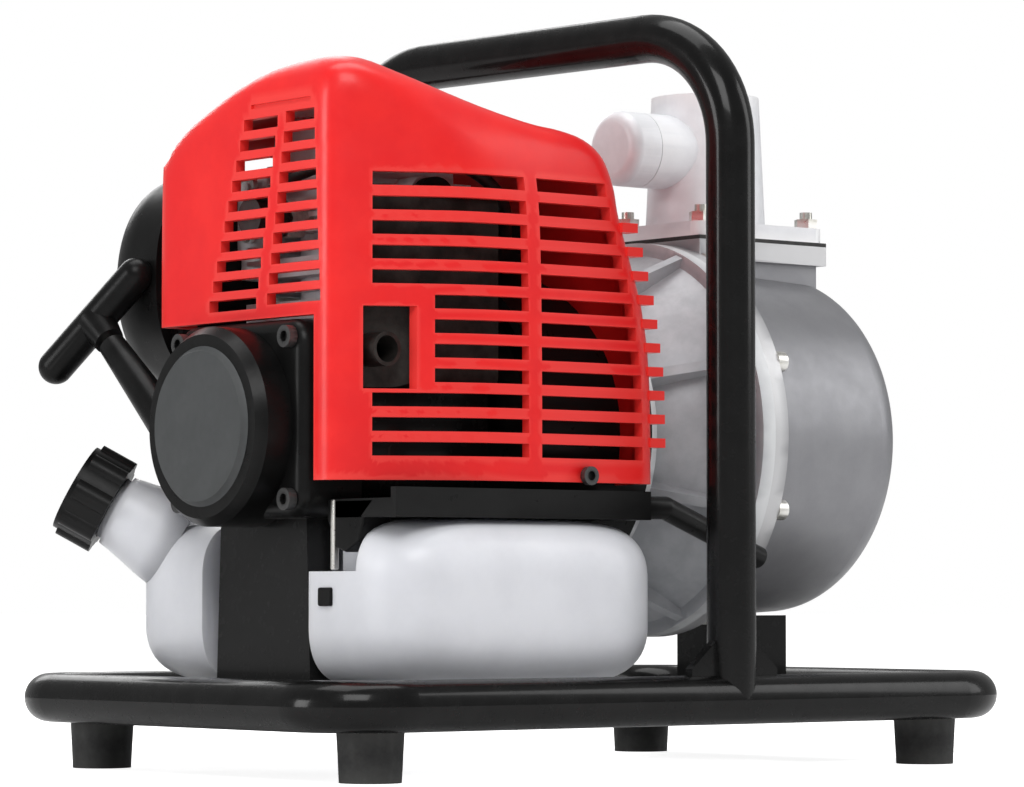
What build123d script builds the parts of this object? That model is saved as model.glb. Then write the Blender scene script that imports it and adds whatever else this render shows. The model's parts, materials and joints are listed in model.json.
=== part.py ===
"""Portable engine-driven water pump: a small air-cooled engine and a self-priming
centrifugal pump on one tubular carrying frame. Millimetres, +Z up, +X towards the
pump end, origin on the ground in the middle of the footprint."""

from build123d import *
import math
import os

os.makedirs("parts", exist_ok=True)

# Driving dimensions ---------------------------------------------------------
FRAME_LENGTH = 352.0
FRAME_WIDTH = 232.0
TUBE_R = 9.5
FRAME_Z = 28.0
FRAME_BEND_R = 27.0
HANDLE_TOP_Z = 287.5
HANDLE_BEND_R = 45.0
HANDLE_NEAR_X = 19.0
HANDLE_FAR_X = -4.0
PLATE_T = 4.0
FOOT_X = 141.0
FOOT_Y = 88.0
FOOT_R = 12.5

AXIS_Z = 132.0           # crankshaft and impeller axis, along X
BORE_R = 17.5
CRANK_THROW = 13.0
ROD_LENGTH = 50.0
CYL_X = -80.0
PIN_R = 4.0
RUN_GAP = 0.05           # radial clearance of a shaft in its bore
FREE_GAP = 0.3           # clearance between parts that move past each other
FAN_R = 58.0
PUMP_R = 76.0
PORT_R = 15.1            # tapping radius of a one inch parallel pipe thread
SUCTION_Z = 150.0
TOWER_X = 101.0
REEL_GROOVE_R = 25.0
ROPE_R = 1.75
REEL_X = -142.0
COVER_WALL = 2.5

TUBE_Y = FRAME_WIDTH / 2 - TUBE_R
TUBE_X = FRAME_LENGTH / 2 - TUBE_R
PLATE_Z = FRAME_Z - TUBE_R
CRANK_PIN_Z = AXIS_Z + CRANK_THROW
WRIST_Z = CRANK_PIN_Z + ROD_LENGTH

CAP_AXIS = Vector(-0.678, 0.552, 0.485).normalized()
CAP_BASE = Vector(-134.5, 91.0, 103.0)
ROPE_DIR = Vector(0, 0.765, 0.644).normalized()
ROPE_START = Vector(REEL_X, 0, AXIS_Z) + Vector(0, 0.644, -0.765) * REEL_GROOVE_R
LOWER = (Align.CENTER, Align.CENTER, Align.MIN)


# Small helpers, all working on the part being built ---------------------------
def block(low, high, mode=Mode.ADD):
    """Box between two opposite corners."""
    size = [b - a for a, b in zip(low, high)]
    middle = [(a + b) / 2 for a, b in zip(low, high)]
    with Locations(tuple(middle)):
        Box(*size, mode=mode)


def rod(start, end, radius, mode=Mode.ADD, end_radius=None):
    """Round bar, or cone where end_radius is given, between two points."""
    start = Vector(*start)
    way = Vector(*end) - start
    with Locations(Plane(origin=start, z_dir=way)):
        if end_radius is None:
            Cylinder(radius, way.length, align=LOWER, mode=mode)
        else:
            Cone(radius, end_radius, way.length, align=LOWER, mode=mode)


def along_x(x0, x1, radius, y=0.0, z=AXIS_Z, mode=Mode.ADD, end_radius=None):
    """Round bar parallel to the crankshaft."""
    rod((x0, y, z), (x1, y, z), radius, mode, end_radius)


def ring_x(x0, x1, outer, inner, y=0.0, z=AXIS_Z):
    """Ring around a line parallel to the crankshaft."""
    along_x(x0, x1, outer, y, z)
    along_x(x0, x1, inner, y, z, mode=Mode.SUBTRACT)


def screw(seat, way, shank_r, head_r, head_h, length, socket=True):
    """Socket-head screw whose head stands on the seat and whose shank points along way."""
    seat = Vector(*seat)
    way = Vector(*way).normalized()
    rod(seat, seat - way * head_h, head_r)
    if socket:
        rod(seat - way * head_h, seat - way * head_h * 0.45, head_r * 0.5, mode=Mode.SUBTRACT)
    rod(seat, seat + way * length, shank_r)


def write(builder, name):
    """Label the finished piece and write its file."""
    builder.part.label = name
    export_step(builder.part, f"parts/{name}.step")


# Carrying frame -----------------------------------------------------------------
with BuildPart() as base_loop:
    with BuildLine(Plane.XY.offset(FRAME_Z)) as loop_path:
        FilletPolyline(
            (TUBE_X, -TUBE_Y), (TUBE_X, TUBE_Y), (-TUBE_X, TUBE_Y), (-TUBE_X, -TUBE_Y),
            radius=FRAME_BEND_R, close=True)
    loop_wire = loop_path.wire()
    with BuildSketch(Plane(origin=loop_wire @ 0, z_dir=loop_wire % 0)):
        Circle(TUBE_R)
    sweep(path=loop_wire)
write(base_loop, "base_loop")

with BuildPart() as carry_handle:
    with BuildLine() as handle_path:
        FilletPolyline(
            (HANDLE_NEAR_X, -TUBE_Y, FRAME_Z), (HANDLE_NEAR_X, -TUBE_Y, HANDLE_TOP_Z),
            (HANDLE_FAR_X, TUBE_Y, HANDLE_TOP_Z), (HANDLE_FAR_X, TUBE_Y, FRAME_Z),
            radius=HANDLE_BEND_R)
    handle_wire = handle_path.wire()
    with BuildSketch(Plane(origin=handle_wire @ 0, z_dir=handle_wire % 0)):
        Circle(TUBE_R)
    sweep(path=handle_wire)
    for leg_x, leg_y in ((HANDLE_NEAR_X, -TUBE_Y), (HANDLE_FAR_X, TUBE_Y)):
        with BuildSketch(Plane.XZ.offset(-leg_y - 2)):
            with BuildLine():
                Polyline((leg_x - 22, FRAME_Z), (leg_x - 22, FRAME_Z + 12), (leg_x - 8, FRAME_Z + 24),
                         (leg_x + 8, FRAME_Z + 24), (leg_x + 22, FRAME_Z + 12), (leg_x + 22, FRAME_Z),
                         close=True)
            make_face()
        extrude(amount=4)
    add(base_loop.part, mode=Mode.SUBTRACT)
write(carry_handle, "carry_handle")


def cross_plate(side):
    """Pressed plate welded across one end of the loop, with a lip along its inner edge."""
    with BuildPart() as plate:
        block((side * FOOT_X - 12, 6 - TUBE_Y, PLATE_Z), (side * FOOT_X + 12, TUBE_Y - 6, PLATE_Z + PLATE_T))
        inner = side * (FOOT_X - 41)
        block((min(inner, side * FOOT_X), -64, PLATE_Z), (max(inner, side * FOOT_X), 64, PLATE_Z + PLATE_T))
        edge = inner + side * PLATE_T / 2
        block((edge - PLATE_T / 2, -64, PLATE_Z), (edge + PLATE_T / 2, 64, PLATE_Z + 9))
        fillet(plate.edges().filter_by(Axis.Z).filter_by(
            lambda e: abs(abs(e.center().Y) - 64) < 0.1 and abs(e.center().Z - PLATE_Z) < 3), 1.5)
        for foot_y in (-FOOT_Y, FOOT_Y):
            rod((side * FOOT_X, foot_y, 0), (side * FOOT_X, foot_y, 40), 3.0, mode=Mode.SUBTRACT)
        add(base_loop.part, mode=Mode.SUBTRACT)
    return plate


plate_engine = cross_plate(-1)
write(plate_engine, "cross_plate_engine_end")
plate_pump = cross_plate(1)
write(plate_pump, "cross_plate_pump_end")

FOOT_SPOTS = [(x, y) for x in (-FOOT_X, FOOT_X) for y in (-FOOT_Y, FOOT_Y)]

with BuildPart() as rubber_feet:
    for foot_x, foot_y in FOOT_SPOTS:
        rod((foot_x, foot_y, 0), (foot_x, foot_y, PLATE_Z), FOOT_R - 1, end_radius=FOOT_R)
        rod((foot_x, foot_y, 0), (foot_x, foot_y, 6), 6.0, mode=Mode.SUBTRACT)
        rod((foot_x, foot_y, 5), (foot_x, foot_y, PLATE_Z), 3.0, mode=Mode.SUBTRACT)
write(rubber_feet, "rubber_feet")

with BuildPart() as foot_bolts:
    for foot_x, foot_y in FOOT_SPOTS:
        rod((foot_x, foot_y, 6), (foot_x, foot_y, 30), 3.0)
        rod((foot_x, foot_y, 2.5), (foot_x, foot_y, 6), 5.2)
        with BuildSketch(Plane.XY.offset(PLATE_Z + PLATE_T)):
            with Locations((foot_x, foot_y)):
                RegularPolygon(5.4, 6)
        extrude(amount=5)
write(foot_bolts, "foot_bolts")

with BuildPart() as engine_stand:
    with BuildSketch(Plane.YZ.offset(-126)):
        with BuildLine():
            Polyline((-31, PLATE_Z + PLATE_T), (-28, 97), (28, 97), (31, PLATE_Z + PLATE_T), close=True)
        make_face()
    extrude(amount=12)
    block((-122, -22, 28), (-114, 22, 90), mode=Mode.SUBTRACT)
    block((-150, -31, PLATE_Z + PLATE_T), (-114, 31, PLATE_Z + PLATE_T + 3))
write(engine_stand, "engine_stand")

with BuildPart() as pump_foot:
    with BuildSketch(Plane.YZ.offset(106)):
        with BuildLine():
            Polyline((-42, PLATE_Z + PLATE_T), (-42, 28), (-24, 34), (-24, 66), (24, 66), (24, 34),
                     (42, 28), (42, PLATE_Z + PLATE_T), close=True)
        make_face()
    extrude(amount=18)
    along_x(100, 130, PUMP_R, mode=Mode.SUBTRACT)
    block((100, -16, 30), (130, 16, 46), mode=Mode.SUBTRACT)
write(pump_foot, "pump_foot")

# Fuel tank and its guard ------------------------------------------------------------
TANK_X0, TANK_X1, TANK_Y, TANK_Z0, TANK_Z1 = -130.0, 3.0, 94.0, 34.0, 97.0


def tank_form(inset):
    """Tank block with rounded ends, saddle for the fan housing and slot for the stand."""
    with BuildPart() as form:
        block((TANK_X0 + inset, -TANK_Y + inset, TANK_Z0 + inset),
              (TANK_X1 - inset, TANK_Y - inset, TANK_Z1 - inset))
        fillet(form.edges().filter_by(Axis.Z), 24 - inset)
        fillet(form.edges().group_by(Axis.Z)[0], 14 - inset)
        fillet(form.edges().group_by(Axis.Z)[-1], 10 - inset)
        block((TANK_X0 - 5, -35 - inset, TANK_Z0 - 5), (-104 + inset, 35 + inset, TANK_Z1 + 5),
              mode=Mode.SUBTRACT)
        along_x(-52 - inset, TANK_X1 + 5, FAN_R + 11 + inset, mode=Mode.SUBTRACT)
    return form


tank_outside = tank_form(0)
tank_inside = tank_form(2.5)
NECK_ROOT = CAP_BASE - CAP_AXIS * 30
with BuildPart() as fuel_tank:
    add(tank_outside.part)
    rod(NECK_ROOT, CAP_BASE - CAP_AXIS * 2, 17, end_radius=14.5)
    rod(CAP_BASE - CAP_AXIS * 3, CAP_BASE + CAP_AXIS * 10, 13)
    add(tank_inside.part, mode=Mode.SUBTRACT)
    rod(NECK_ROOT + CAP_AXIS * 2, CAP_BASE + CAP_AXIS * 11, 10.5, mode=Mode.SUBTRACT)
    rod((-60, 62, 90), (-60, 62, 108), 3.0)
    rod((-60, 62, 80), (-60, 62, 109), 1.6, mode=Mode.SUBTRACT)
    along_x(-52, TANK_X1 + 5, FAN_R + 11, mode=Mode.SUBTRACT)
write(fuel_tank, "fuel_tank")

with BuildPart() as fuel_cap:
    rod(CAP_BASE, CAP_BASE + CAP_AXIS * 17, 18)
    for step in range(8):
        cap_plane = Plane(origin=CAP_BASE, z_dir=CAP_AXIS)
        turn = math.radians(step * 45)
        lobe = CAP_BASE + (cap_plane.x_dir * math.cos(turn) + cap_plane.y_dir * math.sin(turn)) * 15.2
        rod(lobe, lobe + CAP_AXIS * 15, 4.8)
    rod(CAP_BASE - CAP_AXIS, CAP_BASE + CAP_AXIS * 10.5, 13 + FREE_GAP, mode=Mode.SUBTRACT)
write(fuel_cap, "fuel_cap")

GUARD_ARM_BEND, GUARD_ARM_R = (9, -79, TANK_Z1 + 5), 4.5
with BuildPart() as tank_guard:
    block((-128, -86, TANK_Z1), (-4, 46, TANK_Z1 + 7))
    block((-128, -86, TANK_Z1 + 7), (-4, -83, TANK_Z1 + 11))
    block((-132, -46, TANK_Z1 - 5), (-112, 60, TANK_Z1 + 20), mode=Mode.SUBTRACT)
    along_x(-52, 10, FAN_R + 11, mode=Mode.SUBTRACT)
    block((-52, -61, TANK_Z1 - 1), (0, 60, TANK_Z1 + 20), mode=Mode.SUBTRACT)
    rod((-12, -79, TANK_Z1 + 5), GUARD_ARM_BEND, GUARD_ARM_R)
    rod(GUARD_ARM_BEND, (66, -70.4, 83.1), GUARD_ARM_R)
    with Locations(GUARD_ARM_BEND):
        Sphere(GUARD_ARM_R)
write(tank_guard, "tank_guard")

# Engine -----------------------------------------------------------------------------
CASE_X0, CASE_X1, CASE_Y, CASE_Z0, CASE_Z1 = -112.0, -48.0, 40.0, 104.0, 160.0
SUMP_X0, SUMP_X1, SUMP_R = -100.0, -60.0, 25.5
BEARING_R, BEARING_BORE_R, BEARING_W = 13.0, 6.0, 8.0

with BuildPart() as crankcase:
    block((CASE_X0, -CASE_Y, CASE_Z0), (CASE_X1, CASE_Y, CASE_Z1))
    fillet(crankcase.edges().filter_by(Axis.X), 9)
    along_x(SUMP_X0, SUMP_X1, SUMP_R, mode=Mode.SUBTRACT)
    block((SUMP_X0, -23, AXIS_Z), (SUMP_X1, 23, CASE_Z1), mode=Mode.SUBTRACT)
    along_x(CASE_X0, CASE_X0 + BEARING_W, BEARING_R, mode=Mode.SUBTRACT)
    along_x(CASE_X1 - BEARING_W, CASE_X1, BEARING_R, mode=Mode.SUBTRACT)
    along_x(CASE_X0, CASE_X1, 10, mode=Mode.SUBTRACT)
    rod((-90, CASE_Y - 4, 122), (-90, CASE_Y + 6, 122), 9)
    rod((-90, 20, 122), (-90, CASE_Y + 7, 122), 6.5, mode=Mode.SUBTRACT)
write(crankcase, "crankcase")

with BuildPart() as crank_bearings:
    for x0 in (CASE_X0, CASE_X1 - BEARING_W):
        ring_x(x0, x0 + BEARING_W, BEARING_R, 10.6)
        ring_x(x0, x0 + BEARING_W, 8.4, BEARING_BORE_R + RUN_GAP)
        for ball in range(9):
            angle = math.radians(ball * 40)
            with Locations((x0 + BEARING_W / 2, 9.5 * math.cos(angle), AXIS_Z + 9.5 * math.sin(angle))):
                Sphere(2.1)
write(crank_bearings, "crank_bearings")

with BuildPart() as crankshaft:
    for outer_x, web_x0, web_x1 in ((-128, -98, -86), (86, -74, -62)):
        along_x(min(outer_x, web_x0), max(outer_x, web_x1), BEARING_BORE_R)
        with BuildSketch(Plane.YZ.offset(web_x0)):
            with Locations((0, AXIS_Z)):
                Circle(24)
            with Locations((16, AXIS_Z + 15), (-16, AXIS_Z + 15)):
                Circle(8.5, mode=Mode.SUBTRACT)
        extrude(amount=web_x1 - web_x0)
    along_x(-86, -74, 20, mode=Mode.SUBTRACT)
write(crankshaft, "crankshaft")

with BuildPart() as starter_cup:
    along_x(-127, -116, 22)
    along_x(-128, -119, 19, mode=Mode.SUBTRACT)
    along_x(-119.5, -115, BEARING_BORE_R, mode=Mode.SUBTRACT)
    for window in range(4):
        angle = math.radians(window * 90 + 45)
        with Locations(Location((-124, 20 * math.cos(angle), AXIS_Z + 20 * math.sin(angle)),
                                (math.degrees(angle), 0, 0))):
            Box(4, 8, 8, mode=Mode.SUBTRACT)
write(starter_cup, "starter_cup")

with BuildPart() as flywheel_fan:
    along_x(-40, -34, FAN_R - 4)
    along_x(-40, -20, 15)
    for blade in range(14):
        angle = 360 / 14 * blade
        with Locations(Location((-22, 0, AXIS_Z), (angle, 0, 0))):
            with Locations(Location((0, 38, 0), (22, 0, 0))):
                Box(26, 36, 2.4)
    along_x(-40, 0, BEARING_BORE_R, mode=Mode.SUBTRACT)
write(flywheel_fan, "flywheel_fan")

with BuildPart() as connecting_rod:
    along_x(CYL_X - 4, CYL_X + 4, 7.5, z=CRANK_PIN_Z)
    along_x(CYL_X - 4, CYL_X + 4, 6.5, z=WRIST_Z)
    block((CYL_X - 2.5, -4, CRANK_PIN_Z), (CYL_X + 2.5, 4, WRIST_Z))
    block((CYL_X - 3.5, -4.5, CRANK_PIN_Z), (CYL_X + 3.5, -2.5, WRIST_Z))
    block((CYL_X - 3.5, 2.5, CRANK_PIN_Z), (CYL_X + 3.5, 4.5, WRIST_Z))
    along_x(CYL_X - 5, CYL_X + 5, PIN_R, z=CRANK_PIN_Z, mode=Mode.SUBTRACT)
    along_x(CYL_X - 5, CYL_X + 5, PIN_R + RUN_GAP, z=WRIST_Z, mode=Mode.SUBTRACT)
write(connecting_rod, "connecting_rod")

with BuildPart() as crank_pin:
    along_x(CYL_X - 5.7, CYL_X + 5.7, PIN_R, z=CRANK_PIN_Z)
write(crank_pin, "crank_pin")

PISTON_TOP = WRIST_Z + 13
RING_BANDS = (PISTON_TOP - 4, PISTON_TOP - 7.5)
with BuildPart() as piston:
    rod((CYL_X, 0, WRIST_Z - 10), (CYL_X, 0, PISTON_TOP), BORE_R - RUN_GAP)
    rod((CYL_X, 0, WRIST_Z - 10), (CYL_X, 0, PISTON_TOP - 4), 14, mode=Mode.SUBTRACT)
    for side in (-1, 1):
        along_x(CYL_X + side * 10.5 - 4, CYL_X + side * 10.5 + 4, 6.5, z=WRIST_Z)
    for band in RING_BANDS:
        with BuildSketch(Plane.XY.offset(band)):
            with Locations((CYL_X, 0)):
                Circle(BORE_R + 2)
                Circle(15.6, mode=Mode.SUBTRACT)
        extrude(amount=1.2, mode=Mode.SUBTRACT)
    along_x(CYL_X - 20, CYL_X + 20, PIN_R, z=WRIST_Z, mode=Mode.SUBTRACT)
write(piston, "piston")

with BuildPart() as piston_rings:
    for band in RING_BANDS:
        with BuildSketch(Plane.XY.offset(band)):
            with Locations((CYL_X, 0)):
                Circle(BORE_R - RUN_GAP)
                Circle(15.6, mode=Mode.SUBTRACT)
            with Locations((CYL_X, 16.5)):
                Rectangle(0.6, 4, mode=Mode.SUBTRACT)
        extrude(amount=1.2)
write(piston_rings, "piston_rings")

with BuildPart() as wrist_pin:
    along_x(CYL_X - 15.5, CYL_X + 15.5, PIN_R, z=WRIST_Z)
    along_x(CYL_X - 15.5, CYL_X + 15.5, 2.2, z=WRIST_Z, mode=Mode.SUBTRACT)
write(wrist_pin, "wrist_pin")

PORT_Z = 219.0
HEAD_TOP = 236.0
with BuildPart() as cylinder_block:
    rod((CYL_X, 0, CASE_Z1), (CYL_X, 0, 214), 23)
    block((CYL_X - 26, -29, CASE_Z1), (CYL_X + 26, 29, CASE_Z1 + 5))
    for fin in range(8):
        fin_z = CASE_Z1 + 9 + fin * 5.6
        block((CYL_X - 30, -34, fin_z), (CYL_X + 30, 34, fin_z + 1.8))
    block((CYL_X - 26, -26, 212), (CYL_X + 26, 26, HEAD_TOP))
    for fin in range(3):
        fin_z = 214 + fin * 6
        block((CYL_X - 30, -32, fin_z), (CYL_X + 30, 32, fin_z + 1.8))
    rod((CYL_X, 0, PORT_Z), (CYL_X, 40, PORT_Z), 10)
    rod((CYL_X, 0, PORT_Z), (CYL_X, -44, PORT_Z), 10)
    rod((CYL_X, 0, CASE_Z1 - 1), (CYL_X, 0, PISTON_TOP + 2), BORE_R, mode=Mode.SUBTRACT)
    rod((CYL_X, 0, PISTON_TOP + 2), (CYL_X, 0, PISTON_TOP + 7), 15, mode=Mode.SUBTRACT, end_radius=9)
    for side in (-1, 1):
        rod((CYL_X, side * 7, PISTON_TOP + 6), (CYL_X, side * 16, PORT_Z), 5, mode=Mode.SUBTRACT)
        rod((CYL_X, side * 14, PORT_Z), (CYL_X, side * 46, PORT_Z), 6, mode=Mode.SUBTRACT)
    along_x(CYL_X - 34, CYL_X - 10, 5, z=PISTON_TOP + 5, mode=Mode.SUBTRACT)
write(cylinder_block, "cylinder_block")

with BuildPart() as head_cover:
    block((CYL_X - 26, -26, HEAD_TOP), (CYL_X + 26, 26, HEAD_TOP + 18))
    fillet(head_cover.edges().filter_by(Axis.Z), 7)
    fillet(head_cover.faces().sort_by(Axis.Z)[-1].edges(), 5)
    block((CYL_X - 22, -22, HEAD_TOP - 1), (CYL_X + 22, 22, HEAD_TOP + 14), mode=Mode.SUBTRACT)
write(head_cover, "head_cover")

with BuildPart() as spark_plug:
    plug_z = PISTON_TOP + 5
    along_x(CYL_X - 30, CYL_X - 13, 5, z=plug_z)
    with BuildSketch(Plane.YZ.offset(CYL_X - 38)):
        with Locations((0, plug_z)):
            RegularPolygon(8, 6)
    extrude(amount=8)
    along_x(CYL_X - 46, CYL_X - 38, 4.2, z=plug_z)
    along_x(CYL_X - 13, CYL_X - 11, 1.2, z=plug_z)
write(spark_plug, "spark_plug")

LEAD_POINTS = [(-26, -24, 209), (-38, -38, 224), (-58, -39, 235), (-98, -39, 235),
               (-118, -26, 232), (-125, -10, 226), (-125.5, 0, 221)]
with BuildPart() as plug_cap:
    along_x(-133, -119, 7.5, z=PISTON_TOP + 5)
    along_x(-127, -118, 4.2, z=PISTON_TOP + 5, mode=Mode.SUBTRACT)
    rod(LEAD_POINTS[-1], (-125.5, 0, PISTON_TOP + 8), 4.5)
    along_x(-126, -118, 4.2, z=PISTON_TOP + 5, mode=Mode.SUBTRACT)
write(plug_cap, "plug_cap")

with BuildPart() as ignition_coil:
    block((-38, -24, 200), (-14, 18, 216))
    fillet(ignition_coil.edges().filter_by(Axis.Y), 3)
    block((-32, 18, 202), (-20, 24, 212))
write(ignition_coil, "ignition_coil")


def tube_through(points, radius, bends, bore=0.0):
    """Round tube along straight runs joined by tangent arcs."""
    with BuildLine() as way:
        FilletPolyline(*points, radius=bends)
    wire = way.wire()
    with BuildSketch(Plane(origin=wire @ 0, z_dir=wire % 0)) as section:
        Circle(radius)
        if bore:
            Circle(bore, mode=Mode.SUBTRACT)
    sweep(sections=section.sketch, path=wire)


def bend_radii(points):
    """Largest comfortable arc at each corner of a route."""
    radii = []
    for before, corner, after in zip(points, points[1:], points[2:]):
        run_in = Vector(*corner) - Vector(*before)
        run_out = Vector(*after) - Vector(*corner)
        turn = math.radians(run_in.get_angle(run_out))
        radii.append(0.45 * min(run_in.length, run_out.length) / math.tan(turn / 2))
    return radii


with BuildPart() as ignition_lead:
    tube_through(LEAD_POINTS, 2.5, bend_radii(LEAD_POINTS))
write(ignition_lead, "ignition_lead")

OUTLET_X, OUTLET_Z = -116.0, 160.0
def muffler_form(inset):
    """Muffler box with its outer corner cut off along the cover."""
    with BuildPart() as form:
        with BuildSketch(Plane.XY.offset(146 + inset)):
            with BuildLine():
                Polyline((-126 + inset, -48 - inset), (-126 + inset, -50 - inset / 2), (-100 + inset / 2, -64 + inset),
                         (-62 - inset, -64 + inset), (-62 - inset, -48 - inset), close=True)
            make_face()
        extrude(amount=76 - 2 * inset)
        fillet(form.edges().filter_by(Axis.X), 6 - inset)
    return form


with BuildPart() as muffler:
    add(muffler_form(0).part)
    add(muffler_form(2.5).part, mode=Mode.SUBTRACT)
    rod((CYL_X, -44, PORT_Z), (CYL_X, -49, PORT_Z), 9)
    rod((CYL_X, -44, PORT_Z), (CYL_X, -52, PORT_Z), 6, mode=Mode.SUBTRACT)
    rod((OUTLET_X, -54, OUTLET_Z), (OUTLET_X, -65, OUTLET_Z), 6.5)
    rod((OUTLET_X, -52, OUTLET_Z), (OUTLET_X, -68, OUTLET_Z), 5, mode=Mode.SUBTRACT)
write(muffler, "muffler")

CARB_X0, CARB_X1, CARB_Y0, CARB_Y1 = -96.0, -64.0, 40.0, 60.0
LEVER_PIVOT = (50.0, 226.0)
with BuildPart() as carburettor:
    block((CARB_X0, CARB_Y0, 203), (CARB_X1, CARB_Y1, 235))
    fillet(carburettor.edges().filter_by(Axis.Y), 3)
    block((CARB_X0 + 2, CARB_Y0 + 0.5, 194), (CARB_X1 - 2, CARB_Y1, 203))
    rod((CYL_X, CARB_Y0, PORT_Z), (CYL_X, CARB_Y1, PORT_Z), 6, mode=Mode.SUBTRACT)
    rod((CYL_X, 50, 194), (CYL_X, 50, 200), 9.4, mode=Mode.SUBTRACT)
    along_x(CARB_X0 - 4, CARB_X1 + 4, 2.5, y=LEVER_PIVOT[0], z=LEVER_PIVOT[1] + 4)
    rod((CARB_X1 - 4, 50, 197), (CARB_X1 + 5, 50, 197), 2.2)
write(carburettor, "carburettor")


def small_lever(x0, x1):
    """Stamped lever on the carburettor's cross pin, hanging from its eye."""
    pivot_y, pivot_z = LEVER_PIVOT[0], LEVER_PIVOT[1] + 4
    with BuildPart() as lever:
        along_x(x0, x1, 5, y=pivot_y, z=pivot_z)
        block((x0, pivot_y - 2.5, pivot_z - 18), (x1, pivot_y + 2.5, pivot_z))
        along_x(x0, x1, 4, y=pivot_y, z=pivot_z - 18)
        along_x(x0 - 1, x1 + 1, 2.5 + RUN_GAP, y=pivot_y, z=pivot_z, mode=Mode.SUBTRACT)
    return lever


choke_lever = small_lever(CARB_X0 - 3, CARB_X0 - 0.5)
write(choke_lever, "choke_lever")
throttle_lever = small_lever(CARB_X1 + 0.5, CARB_X1 + 3)
write(throttle_lever, "throttle_lever")

with BuildPart() as primer_bulb:
    rod((CYL_X, 50, 190), (CYL_X, 50, 195.5), 9)
    with Locations((CYL_X, 50, 190)):
        Sphere(9)
        Sphere(7.4, mode=Mode.SUBTRACT)
    rod((CYL_X, 50, 190), (CYL_X, 50, 200), 7.4, mode=Mode.SUBTRACT)
    block((CYL_X - 10, 40, 195.5), (CYL_X + 10, 60, 200), mode=Mode.SUBTRACT)
write(primer_bulb, "primer_bulb")

HOSE_POINTS = [(-60, 62, 98), (-60, 62, 116), (-55, 52, 140), (-47, 50, 162), (-47, 50, 180),
               (-51, 50, 194), (-61, 50, 197)]
with BuildPart() as fuel_hose:
    tube_through(HOSE_POINTS, 4.2, bend_radii(HOSE_POINTS), bore=3.0)
write(fuel_hose, "fuel_hose")

CLEANER_X0, CLEANER_X1, CLEANER_Z0, CLEANER_Z1 = -116.0, -58.0, 148.0, 238.0
CLEANER_BACK_Y, CLEANER_SPLIT_Y, CLEANER_FRONT_Y = 60.0, 69.0, 112.0
KNUCKLE_Y, KNUCKLE_X0, KNUCKLE_X1, KNUCKLE_R = CLEANER_SPLIT_Y + FREE_GAP, -98.0, -76.0, 2.4
with BuildPart() as air_cleaner_base:
    block((CLEANER_X0, CLEANER_BACK_Y, CLEANER_Z0), (CLEANER_X1, CLEANER_SPLIT_Y, CLEANER_Z1))
    fillet(air_cleaner_base.edges().filter_by(Axis.Y), 14)
    block((CLEANER_X0 + 5, CLEANER_BACK_Y + 3, CLEANER_Z0 + 6),
          (CLEANER_X1 - 5, CLEANER_SPLIT_Y + 1, CLEANER_Z1 - 6), mode=Mode.SUBTRACT)
    rod((CYL_X, 55, PORT_Z), (CYL_X, 70, PORT_Z), 6, mode=Mode.SUBTRACT)
    rod((KNUCKLE_X0 - 1, KNUCKLE_Y, CLEANER_Z0), (KNUCKLE_X1 + 1, KNUCKLE_Y, CLEANER_Z0), KNUCKLE_R + 0.4,
        mode=Mode.SUBTRACT)
write(air_cleaner_base, "air_cleaner_base")

with BuildPart() as filter_element:
    block((CLEANER_X0 + 7, CLEANER_BACK_Y + 5, CLEANER_Z0 + 9), (CLEANER_X1 - 7, 92, CLEANER_Z1 - 13))
    fillet(filter_element.edges().filter_by(Axis.Y), 6)
write(filter_element, "filter_element")

with BuildPart() as air_cleaner_cover:
    block((CLEANER_X0, CLEANER_SPLIT_Y + FREE_GAP, CLEANER_Z0), (CLEANER_X1, CLEANER_FRONT_Y, CLEANER_Z1))
    fillet(air_cleaner_cover.edges().filter_by(Axis.Y), 14)
    fillet(air_cleaner_cover.faces().sort_by(Axis.Y)[-1].edges(), 12)
    block((CLEANER_X0 + 3, CLEANER_SPLIT_Y - 1, CLEANER_Z0 + 3),
          (CLEANER_X1 - 3, CLEANER_FRONT_Y - 8, CLEANER_Z1 - 3), mode=Mode.SUBTRACT)
    rod((KNUCKLE_X0, KNUCKLE_Y, CLEANER_Z0), (KNUCKLE_X1, KNUCKLE_Y, CLEANER_Z0), KNUCKLE_R)
write(air_cleaner_cover, "air_cleaner_cover")

with BuildPart() as oil_filler_cap:
    rod((-90, CASE_Y + 6 + FREE_GAP, 122), (-90, CASE_Y + 15, 122), 10)
    for step in range(6):
        angle = math.radians(step * 60)
        grip = (-90 + 11 * math.cos(angle), 122 + 11 * math.sin(angle))
        rod((grip[0], CASE_Y + 5, grip[1]), (grip[0], CASE_Y + 16, grip[1]), 3, mode=Mode.SUBTRACT)
    rod((-90, CASE_Y - 8, 122), (-90, CASE_Y + 7, 122), 6.5 - RUN_GAP)
write(oil_filler_cap, "oil_filler_cap")

with BuildPart() as fan_cover:
    ring_x(-42, 14, FAN_R + 8, FAN_R + 4)
    ring_x(10, 14, FAN_R + 8, 16)
    for rib in range(12):
        with Locations(Location((6.5, 0, AXIS_Z), (rib * 30, 0, 0))):
            with Locations((0, 40, 0)):
                Box(7, 44, 2.5)
    with BuildSketch(Plane.YZ.offset(CASE_X1)):
        with Locations((0, AXIS_Z)):
            Circle(FAN_R + 8)
            Circle(14, mode=Mode.SUBTRACT)
        with Locations((0, AXIS_Z + 60)):
            Rectangle(200, 120, mode=Mode.SUBTRACT)
    extrude(amount=6)
    along_x(5, 20, 16, mode=Mode.SUBTRACT)
write(fan_cover, "fan_cover")

# Red top cover --------------------------------------------------------------------------
COVER_X0, COVER_X1, COVER_Y0, COVER_Y1 = -138.0, 5.0, -86.0, 57.0
COVER_BOTTOM, COVER_PEAK_Z = 109.0, 275.0


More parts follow.
